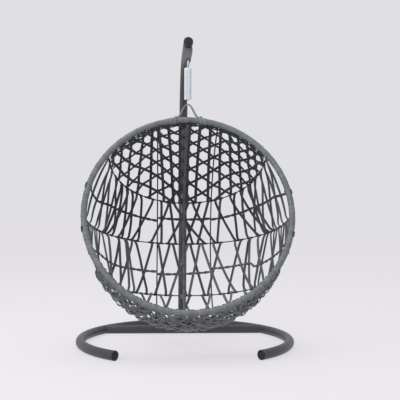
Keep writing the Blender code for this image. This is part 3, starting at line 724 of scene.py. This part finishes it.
class Panel:
    """The wall between two hoops: share 0 at the upper hoop, 1 at the lower, and s across it."""

    def __init__(self, upper, lower, rows=25):
        self.shares = np.linspace(0, 1, rows)
        levels = [tuple(a + (b - a) * t for a, b in zip(upper, lower)) for t in self.shares]
        self.lines = [half_hoop(level) for level in levels]
        self.lengths = np.array([line[0][-1] for line in self.lines])

    def near(self, share):
        """The number of the stored line above each share, and how far the share is on to the next."""
        where = np.clip(share, 0, 1) * (len(self.lines) - 1)
        low = np.minimum(where.astype(int), len(self.lines) - 2)
        return low, where - low

    def at(self, share, s):
        """Shell coordinates at shares between the hoops and arc lengths across."""
        rows = []
        for low, part, across in zip(*self.near(share), s):
            one, other = (np.array(on_hoop(line, across)) for line in self.lines[low : low + 2])
            rows.append(one + (other - one) * part)
        return np.array(rows).T

    def room(self, share):
        return np.interp(share, self.shares, self.lengths)

    def taut(self, share, run):
        """Arc lengths of a strand pulled straight between a point of each hoop, as seen from the front."""
        slack = run[0] + (run[1] - run[0]) * share
        ends = [on_hoop(line, s)[0] for line, s in zip((self.lines[0], self.lines[-1]), run)]
        x = ends[0] + (ends[1] - ends[0]) * share
        found = []
        for low, part, width, even in zip(*self.near(share), x, slack):
            pair = []
            for line in self.lines[low : low + 2]:
                loose = min(max((abs(width) / line[1].max() - 0.80) / 0.14, 0.0), 1.0)
                pair.append(math.copysign(at_width(line, width), width) * (1 - loose) + even * loose)
            found.append(pair[0] + (pair[1] - pair[0]) * part)
        return np.array(found)


def smooth_wobble(count, size, pieces=4):
    """A slow random drift along a strand."""
    knots = np.array([rng.uniform(-1, 1) for _ in range(pieces)])
    t = np.linspace(0, pieces - 1, count)
    low = np.minimum(t.astype(int), pieces - 2)
    part = t - low
    part = part * part * (3 - 2 * part)
    return (knots[low] * (1 - part) + knots[low + 1] * part) * size


def rim_points(turn, around, radius):
    """Points round the rim's tube. turn is 0 at the rim's top, and around is 0 towards its centre."""
    turn, around = np.asarray(turn, float), np.asarray(around, float)
    inward = -(SIDE * np.sin(turn)[..., None] + UP * np.cos(turn)[..., None])
    outward = inward * np.cos(around)[..., None] + INTO * np.sin(around)[..., None]
    centre = RIM_CENTRE - inward * RIM_R
    return centre + outward * np.asarray(radius, float)[..., None], outward


def rim_loop(made, turn, first, last, width, thickness, shade, lift=0.0013, slant=0.0):
    """A strand's loop round the wound rim, between two angles of rim_points."""
    steps = 22
    turns = turn + slant * np.linspace(-0.5, 0.5, steps)
    path, normals = rim_points(turns, np.radians(np.linspace(first, last, steps)), WINDING_R + lift)
    made.sweep(path, normals, flat_section(width, thickness), shade)


def hoop_loop(made, line, s, width, thickness, shade, turns):
    """A strand's turns round a thin hoop, at an arc length of its line."""
    points, walls = wall_points(*on_hoop(line, np.array([s - 0.002, s, s + 0.002])), HOOP_OUT)
    along = points[2] - points[0]
    along /= np.linalg.norm(along)
    count = int(18 * turns)
    angle = np.linspace(0, 2 * math.pi * turns, count)
    shift = np.linspace(-0.5, 0.5, count) * width * (turns - 0.6)
    normals = np.outer(np.cos(angle), walls[1]) + np.outer(np.sin(angle), np.cross(along, walls[1]))
    path = points[1] + np.outer(shift, along) + (HOOP_ROD_R + thickness * 0.6) * normals
    made.sweep(path, normals, flat_section(width, thickness, 8), shade)


# Hood and seat: strands laid over the wall from the rim back to a hoop


class Cover:
    """The part of the wall between the rim and a hoop, above the rim's centre or below it."""

    def __init__(self, hoop, top):
        self.hoop, self.sign = hoop, 1 if top else -1
        w = np.linspace(0.0, SHELL_DEPTH * 0.9995, 4000)
        u = centre_of(w) + self.sign * np.sqrt(radius_squared(w))
        self.depth_of = (np.r_[0, np.cumsum(np.hypot(np.diff(u), np.diff(w)))], w)

    def at(self, x, s):
        """Shell coordinates at a distance s back from the rim, and whether the point is on the cover."""
        w = np.interp(s, *self.depth_of)
        room = radius_squared(w) - x * x
        u = centre_of(w) + self.sign * np.sqrt(np.maximum(room, 1e-9))
        edge = (u - plane_rise(self.hoop, w)) * self.sign
        return u, w, (room > 1e-6) & (edge > 0) & (s > STOP)

    def strand(self, made, x, s, lift, width, thickness, shade):
        """Sweep each run of the line that lies on the cover, and tell where the runs end."""
        u, w, inside = self.at(x, s)
        ends = []
        for first, last in runs(inside):
            if last - first < 6:
                continue
            part = slice(first, last + 1)
            points, normals = wall_points(x[part], u[part], w[part], WEAVE_IN + lift[part])
            made.sweep(points, normals, twin_section(width, thickness), shade)
            ends += [(x[index], u[index], w[index]) for index in (first, last)]
        return ends


def runs(mask):
    """First and last index of each run of True."""
    edges = np.flatnonzero(np.diff(np.r_[0, mask.astype(int), 0]))
    return zip(edges[::2], edges[1::2] - 1)


def end_loops(made, ends, line, width, thickness, last, shades=(0.05, 0.3)):
    """Loop each strand's end round the rim, or round the hoop whose line this is."""
    for x, u, w in ends:
        shade = rng.uniform(*shades)
        if w < NEAR_RIM:
            turn = math.atan2(x, u) + rng.uniform(-0.004, 0.004)
            rim_loop(made, turn, -10, last, width, thickness, shade)
        else:
            hoop_loop(made, line, math.copysign(at_width(line, x), x), width, thickness, shade, 1.6)


def make_hood():
    """The hood: upright strands between the hexagons' columns, two slanted sets, and rows along the rim."""
    cover = Cover(HOOD_HOOP, True)
    upright, slanted, loops = Strands(), Strands(), Strands()
    lift, thickness = 0.0018, 0.0036
    number, front, behind, start, pitch = np.array(HOOD_COLUMNS).T

    def spot(a, b):
        """From column and row numbers to metres from the middle and from the rim."""
        s = (np.interp(a, number, start) + np.interp(a, number, pitch) * b) * 0.001
        near, far = np.interp(a, number, front), np.interp(a, number, behind)
        return (near + (far - near) * (s - 0.1) / 0.35) * 0.001, s

    ends_up, ends_across = [], []
    # The hood's strands take low shade values: painted shade, as the hood faces down, away from the lamps.
    b = np.linspace(-0.6, 9.4, 380)
    for k in range(-9, 9):
        x, s = spot(k + 0.5 + smooth_wobble(len(b), 0.05), b)
        wave = lift * np.cos(2 * math.pi * (b - 0.5 + (k + 0.5) / 2))
        ends_up += cover.strand(upright, x, s, wave, 0.0158, thickness, rng.uniform(0.10, 0.42))
    a = np.linspace(-9, 9, 420)
    for sign in (-1, 1):
        wave = sign * lift * np.cos(2 * math.pi * (a - 0.5))
        for j in range(-6, 15):
            x, s = spot(a, sign * a / 2 + j + 0.5 + smooth_wobble(len(a), 0.05, 6))
            ends_across += cover.strand(slanted, x, s, wave, 0.0146, thickness, rng.uniform(0.12, 0.45))
    # The rows along the rim take the lowest values: painted shade just inside the rim's top.
    for distance, phase, last in (
        (0.019, 0.0, 1.4),
        (0.029, math.pi, 1.4),
        (0.040, 0.0, 1.4),
        (0.053, math.pi, -0.35),
        (0.066, 0.0, -0.50),
    ):
        turn = np.linspace(-1.4, last, 500)
        away = distance + smooth_wobble(len(turn), 0.003, 9)
        wave = lift * np.cos(turn * SHELL_R / 0.054 * 2 * math.pi + phase)
        cover.strand(slanted, SHELL_R * np.sin(turn), away, wave, 0.0112, 0.0024, rng.uniform(0.0, 0.12))
    line = half_hoop(HOOD_HOOP)
    # The end loops keep end_loops' low default values: painted shade.
    end_loops(loops, ends_up, line, STRAND, 0.0020, 130)
    end_loops(loops, ends_across, line, 0.0130, 0.0020, 130)
    upright.build("hood_upright_strands", "hood_weave")
    slanted.build("hood_slanted_strands")
    loops.build("hood_end_loops")


def make_seat():
    """The seat: an open lattice from its hoop forward, and a dense, lumpy weave near the rim."""
    cover = Cover(SEAT_HOOP, False)
    line = half_hoop(SEAT_HOOP)
    made, rows, loops = Strands(), Strands(), Strands()
    spacing, pitch, crossing = 0.110, 0.172, 0.080
    dense, twin_gap = 0.24, 0.0078
    ends = []
    # The seat's strands, rows and loops take high shade values: painted light, as the seat faces up to the
    # lamps.
    back = np.linspace(0, 0.86, 300)
    for sign in (-1, 1):
        lean = sign * (back - crossing) / (2 * pitch)
        over = 0.0034 * np.cos(back / pitch * 4 * math.pi) * sign
        for j in range(-8, 9):
            for half in (0.0, 0.5):
                x = 0.010 + spacing * (j + half + lean + smooth_wobble(len(back), 0.05, 6))
                s = np.interp(at_width(line, x, 3), cover.depth_of[1], cover.depth_of[0]) - back
                wave = SEAT_OUT * np.exp(-((s / 0.26) ** 4)) + over
                first = 0
                if half:
                    near = s < dense - 0.11 * (x / SHELL_R) ** 2 + rng.uniform(-0.02, 0.02)
                    if not near.any():
                        continue
                    first = int(np.argmax(near))
                x, s, wave = x[first:], s[first:], wave[first:]
                for shift in (-twin_gap, twin_gap) if half else (0.0,):
                    found = cover.strand(made, x + shift, s, wave, STRAND, 0.0028, rng.uniform(0.50, 1.00))
                    ends += [end for end in found if not half or end[2] < NEAR_RIM]
    for k in range(10):
        turn = np.linspace(-1.45, 1.45, 400) * min(1.0, 1.0 - 0.16 * (k - 6))
        away = 0.046 + 0.0220 * k + smooth_wobble(len(turn), 0.004, 9)
        beat = turn * SHELL_R / 0.031 + k + smooth_wobble(len(turn), 0.8, 16)
        wave = SEAT_OUT + 0.0068 * np.cos(math.pi * beat)
        cover.strand(rows, SHELL_R * np.sin(turn), away, wave, 0.0205, 0.0042, rng.uniform(0.60, 1.10))
    end_loops(loops, ends, line, 0.0120, LOOP_THICKNESS, 205, (0.45, 0.8))
    made.build("seat_strands", "seat_weave")
    rows.build("seat_rows")
    loops.build("seat_end_loops")


# Back: pairs of strands that cross between the hoops


def panel_strand(made, loops, panel, run, layer, shades, width=STRAND):
    """A double strand from the upper hoop to the lower one, or to the rim where it gets there first."""
    count, near = 60, 0.045
    share = np.linspace(0, 1, count)
    s = panel.taut(share, run) + smooth_wobble(count, 0.002)
    free = np.abs(s) < panel.room(share) - STOP
    last = count if free.all() else int(np.argmin(free))
    if last < 6:
        return
    share, s = share[:last], s[:last]
    x, u, w = panel.at(share, s)
    at_hoop = np.exp(-((share / near) ** 2))
    if last == count:
        at_hoop = np.maximum(at_hoop, np.exp(-(((1 - share) / near) ** 2)))
    out = WEAVE_IN + layer + (HOOP_OUT - HOOP_ROD_R - 0.0014 - WEAVE_IN - layer) * at_hoop
    points, normals = wall_points(x, u, w, out)
    turned = np.sin(math.pi * share) * np.clip((np.abs(s) - 0.28) / 0.15, 0, 1)
    shade = rng.uniform(*shades)
    made.sweep(points, normals + INTO * (SIDE_TURN * turned)[:, None], twin_section(width, 0.0044), shade)
    hoop_loop(loops, panel.lines[0], s[0], width, LOOP_THICKNESS, shade * 0.4, 1.7)
    if last == count:
        hoop_loop(loops, panel.lines[-1], s[-1], width, LOOP_THICKNESS, shade * 0.4, 1.7)
    else:
        rim_loop(loops, math.atan2(x[-1], u[-1]), -20, 195, width, LOOP_THICKNESS, shade)


def make_back():
    """The strands read off the photo, then those towards the rim, which follow a rule."""
    upper, lower = Panel(HOOD_HOOP, BACK_HOOP), Panel(BACK_HOOP, SEAT_HOOP)
    made, loops = Strands(), Strands()
    # Shade ranges by place: painted shade on the upper back, lighter values at its sides, and painted light
    # on the lower back, which faces up to the lamps.
    shaded, middling, light = (0.18, 0.50), (0.35, 0.70), (0.45, 0.85)
    layer, side_layer = 0.0019, 0.0013
    for panel, hung, shades in ((upper, UPPER_RUNS, shaded), (lower, LOWER_RUNS, light)):
        for number, (top, low) in enumerate(hung):
            panel_strand(made, loops, panel, (top / 1000, low / 1000), (-1) ** number * layer, shades)
    for side in (-1, 1):
        for i in range(4):
            top = 0.50 + 0.082 * i + rng.uniform(-0.006, 0.006)
            pair = (top, 1.14 * top - 0.02, side_layer), (top + 0.02, 0.92 * top, -side_layer)
            for start, end, out in pair:
                panel_strand(made, loops, upper, (side * start, side * end), out, middling, 0.0120)
        for i in range(4):
            top = 0.555 + 0.112 * i + rng.uniform(-0.008, 0.008)
            for start, end, out, width in (
                (top, top - 0.088, side_layer, 0.0110),
                (top + 0.03, top + 0.10, -side_layer, 0.0100),
                (top + 0.07, top + 0.05, 0.0, 0.0080),
            ):
                panel_strand(made, loops, lower, (side * start, side * end), out, light, width)
    made.build("back_strands", "upper_back_weave", "lower_back_weave")
    loops.build("back_end_loops")


def make_twines():
    """Two rows of two strands twined round the upright ones, in three stretches between rim and ribs."""
    most, pitch, gap, stop = 0.06, 0.085, 0.001, 0.012
    # The upper row takes darker shade values and the lower row lighter ones: painted shade above, painted
    # light below.
    for name, level, stray, shades in (
        ("upper_twine", UPPER_TWINE, UPPER_STRAY, (0.2, 0.45)),
        ("lower_twine", LOWER_TWINE, LOWER_STRAY, (0.45, 0.75)),
    ):
        made = Strands()
        rib = float(at_width(half_hoop(level), RIB_X))
        around = Panel((level[0] + most, level[1]), (level[0] - most, level[1]), 11)
        left, right = (around.room(0.5 - knot[1] / (2 * most)) - stop for knot in (stray[0][0], stray[2][-1]))
        stretches = (-left, -rib - gap), (gap - rib, rib - gap), (rib + gap, right)
        for (first, last), knots in zip(stretches, stray):
            s = np.linspace(first, last, int((last - first) / 0.004))
            drift = smoothed(np.interp(np.linspace(0, 1, len(s)), *np.array(knots).T), 12)
            x, u, w = around.at(0.5 - drift / (2 * most), s)
            for phase in (0.0, math.pi):
                angle = s * 2 * math.pi / pitch + phase
                points, normals = wall_points(x, u, w, TWINE_IN + 0.0022 + 0.0021 * np.sin(angle))
                points = points + UP * (0.0032 * np.cos(angle))[:, None]
                made.sweep(points, normals, flat_section(0.0092, 0.0024), rng.uniform(*shades))
            for end in (0, -1):
                if w[end] < 0.05:
                    for shift in (-0.012, 0.012):
                        turn, shade = math.atan2(x[end], u[end]) + shift, rng.uniform(0.2, 0.5)
                        rim_loop(made, turn, 20, 235, 0.0110, 0.0030, shade, 0.0022, 0.02)
        made.build(name + "_strands", name)


# Steel of the basket, and what is wound on it


def rib_path(x, count):
    """Shell coordinates down a rib: the shell's outline in the plane at x, from rim to rim."""
    w, room = depth_samples(lambda d: radius_squared(d) - x * x)
    reach = np.sqrt(np.maximum(room, 0))
    keep = w >= SHELL_START
    w, reach = w[keep], reach[keep]
    upper, lower = (np.c_[np.full(len(w), x), centre_of(w) + sign * reach, w] for sign in (1, -1))
    line = np.vstack([upper, lower[::-1]])
    lengths = arc_lengths(line)
    return resampled(line, lengths, np.linspace(0, lengths[-1], count)).T


def make_rods():
    count = 260
    for name, level in (("hood_hoop", HOOD_HOOP), ("back_hoop", BACK_HOOP), ("seat_hoop", SEAT_HOOP)):
        line = half_hoop(level)
        end = line[0][-1] - SHELL_START
        found = wall_points(*on_hoop(line, np.linspace(-end, end, count)), HOOP_OUT)
        rod(name + "_rod", *found, HOOP_ROD_R, 12, "frame_paint", "basket", name, 0.4)
    for name, x in (("rib_left", -RIB_X), ("rib_middle", 0.0), ("rib_right", RIB_X)):
        found = wall_points(*rib_path(x, count), 0.0)
        rod(name + "_rod", *found, RIB_ROD_R, 12, "frame_paint", "basket", name, 0.4)


def wound(made, path, outward, axis, section, angle, tone):
    """Sweep a strand wound round a core, its width kept along the core's axis."""
    outward = outward / np.linalg.norm(outward, axis=1)[:, None]
    rings = path[:, None] + axis[:, None] * section[:, 0, None] + outward[:, None] * section[:, 1, None]
    turns = angle / (2 * math.pi)
    number = np.floor(turns).astype(int)
    shades = np.array([rng.random() for _ in range(number.max() + 2)])
    part = turns - number
    shade = shades[number] * (1 - part) + shades[number + 1] * part
    made.skin(rings, angle * WINDING_R, section[:, 0], tone + 0.4 * shade[:, None])


def make_binding():
    """The strand wound round the middle rib."""
    pitch, per_turn, wide, deep = 0.0088, 18, 0.0076, 0.0058
    centre, normals = wall_points(*rib_path(0.0, 9000), -0.0055)
    along = arc_lengths(centre)
    s = np.arange(0, along[-1], pitch / per_turn)
    centre, normals = resampled(centre, along, s), resampled(normals, along, s)
    angle = s / pitch * 2 * math.pi
    outward = np.cos(angle)[:, None] * SIDE * wide + np.sin(angle)[:, None] * normals * deep
    tangent = np.gradient(centre, axis=0)
    tangent /= np.linalg.norm(tangent, axis=1)[:, None]
    made = Strands()
    # Base tone 0.02 against the rim's 0.35: painted shade, the same wicker drawn darker inside the basket.
    wound(made, centre + outward, outward, tangent, flat_section(0.0087, 0.0016, 8), angle, 0.02)
    made.build("rib_binding_wound", "rib_binding", look="rim_wicker")


def make_rim():
    """The strand wound round the rim, over a plain core."""
    core = Strands()
    centre, _ = rim_points(np.linspace(0, 2 * math.pi, 241), 0.0, 0.0)
    core.sweep(centre, INTO, round_section(WINDING_R - 0.0012, 16), 0.3, caps=False)
    core.build("rim_core", look="frame_paint")
    strand, per_turn = 0.0094, 18
    wraps = int(round(2 * math.pi * RIM_R / strand))
    t = np.arange(wraps * per_turn + 1) / (wraps * per_turn)
    turn, angle = math.pi + 2 * math.pi * t, 2 * math.pi * wraps * t
    rough = 0.00035 * np.sin(turn * 57) + 0.0003 * np.sin(turn * 131 + 1)
    path, outward = rim_points(turn, angle, WINDING_R - 0.0007 + rough)
    axis = SIDE * np.cos(turn)[:, None] - UP * np.sin(turn)[:, None]
    made = Strands()
    wound(made, path, outward, axis, flat_section(strand * 0.99, 0.0015, 8), angle, 0.35)
    made.build("rim_winding_wound", "rim_winding", look="rim_wicker")


def make_bail():
    """The bail, whose feet run on round the front of the rim and are tied down by turns of strand."""
    crown = (BAIL_Z - RIM_CENTRE[2]) / UP[2]
    foot = math.sqrt((RIM_R + RIM_TUBE_R) ** 2 - BAIL_FOOT_X**2) + 0.0021
    share = np.linspace(0, 0.93, 60) ** 1.1
    x = BAIL_FOOT_X * share**0.9
    u = crown + (foot - crown) * (1 - np.cos(math.pi * share)) / 2
    legs = []
    for side in (-1, 1):
        turn = side * math.asin((BAIL_FOOT_X + 0.004) / RIM_R)
        around = np.radians(np.linspace(205, 330, 14) if side < 0 else np.linspace(190, 215, 5))
        wrap, _ = rim_points(turn + side * np.linspace(0, 0.012, len(around)), around, WINDING_R + 0.003)
        leg = np.vstack([place(side * x, u, 0.0), wrap])
        lengths = arc_lengths(leg)
        legs.append(resampled(leg, lengths, np.linspace(0, lengths[-1], 90)))
    path = smoothed(np.vstack([legs[0][:0:-1], legs[1]]), 3)
    reach = np.abs(np.arange(len(path)) - len(legs[0]) + 1) / 20
    swell = 1 + 0.45 * np.clip(reach - 0.3, 0, 1)
    rod("bail_rod", path, INTO, BAIL_R, 16, "bail_steel", "basket", "bail", scales=swell)
    ties = Strands()
    for side in (-1, 1):
        for k in range(4):
            turn = side * (math.asin(BAIL_FOOT_X / RIM_R) + 0.012 + 0.019 * k)
            lift, slant = 0.0020 - 0.0004 * k, 0.03 * side
            rim_loop(ties, turn, 150, 420, 0.0098, 0.0020, rng.uniform(0.5, 0.9), lift, slant)
    ties.build("bail_ties", look="rim_wicker")


def dress_hidden_nodes():
    """The CAD pieces that stay: only those inside others."""
    for name, look in (
        ("rim_tube", "frame_paint"),
        ("cross_plug_left", "stand_paint"),
        ("cross_plug_right", "stand_paint"),
    ):
        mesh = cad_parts[name].data
        mesh.materials.clear()
        mesh.materials.append(LOOKS[look])


RIM_TONES = ((0.07, 0.080, 0.084), (0.135, 0.152, 0.156), (0.20, 0.222, 0.226))
# The weave's dark end is painted shade for the hood and the upper back; its pale end is painted light for the
# lower back and the seat.
WEAVE_TONES = ((0.010, 0.012, 0.013), (0.052, 0.058, 0.061), (0.165, 0.171, 0.180))
LOOKS = {
    "stand_paint": paint("stand_paint", (0.044, 0.041, 0.048), (0.09, 0.087, 0.095), 0.40),
    "plate_paint": plate_paint("plate_paint"),
    "cap_plastic": moulded("cap_plastic", (0.012, 0.011, 0.013), 0.6),
    "screw_steel": plated("screw_steel", (0.12, 0.12, 0.125), 0.4),
    "zinc_spring": plated("zinc_spring", (0.86, 0.89, 0.92), 0.42, 0.5),
    "clear_sleeve": clear_sleeve("clear_sleeve"),
    "bail_steel": paint("bail_steel", (0.165, 0.155, 0.152), (0.28, 0.27, 0.26), 0.4),
    "frame_paint": paint("frame_paint", (0.018, 0.019, 0.022), (0.06, 0.06, 0.065), 0.45),
    "rim_wicker": wicker("rim_wicker", RIM_TONES, 0.5),
    "weave_wicker": wicker("weave_wicker", WEAVE_TONES, 0.5),
}

make_camera()
make_studio()
make_stand()
make_hanger()
make_rods()
make_rim()
make_bail()
make_binding()
make_hood()
make_back()
make_twines()
make_seat()
dress_hidden_nodes()

bpy.context.view_layer.update()
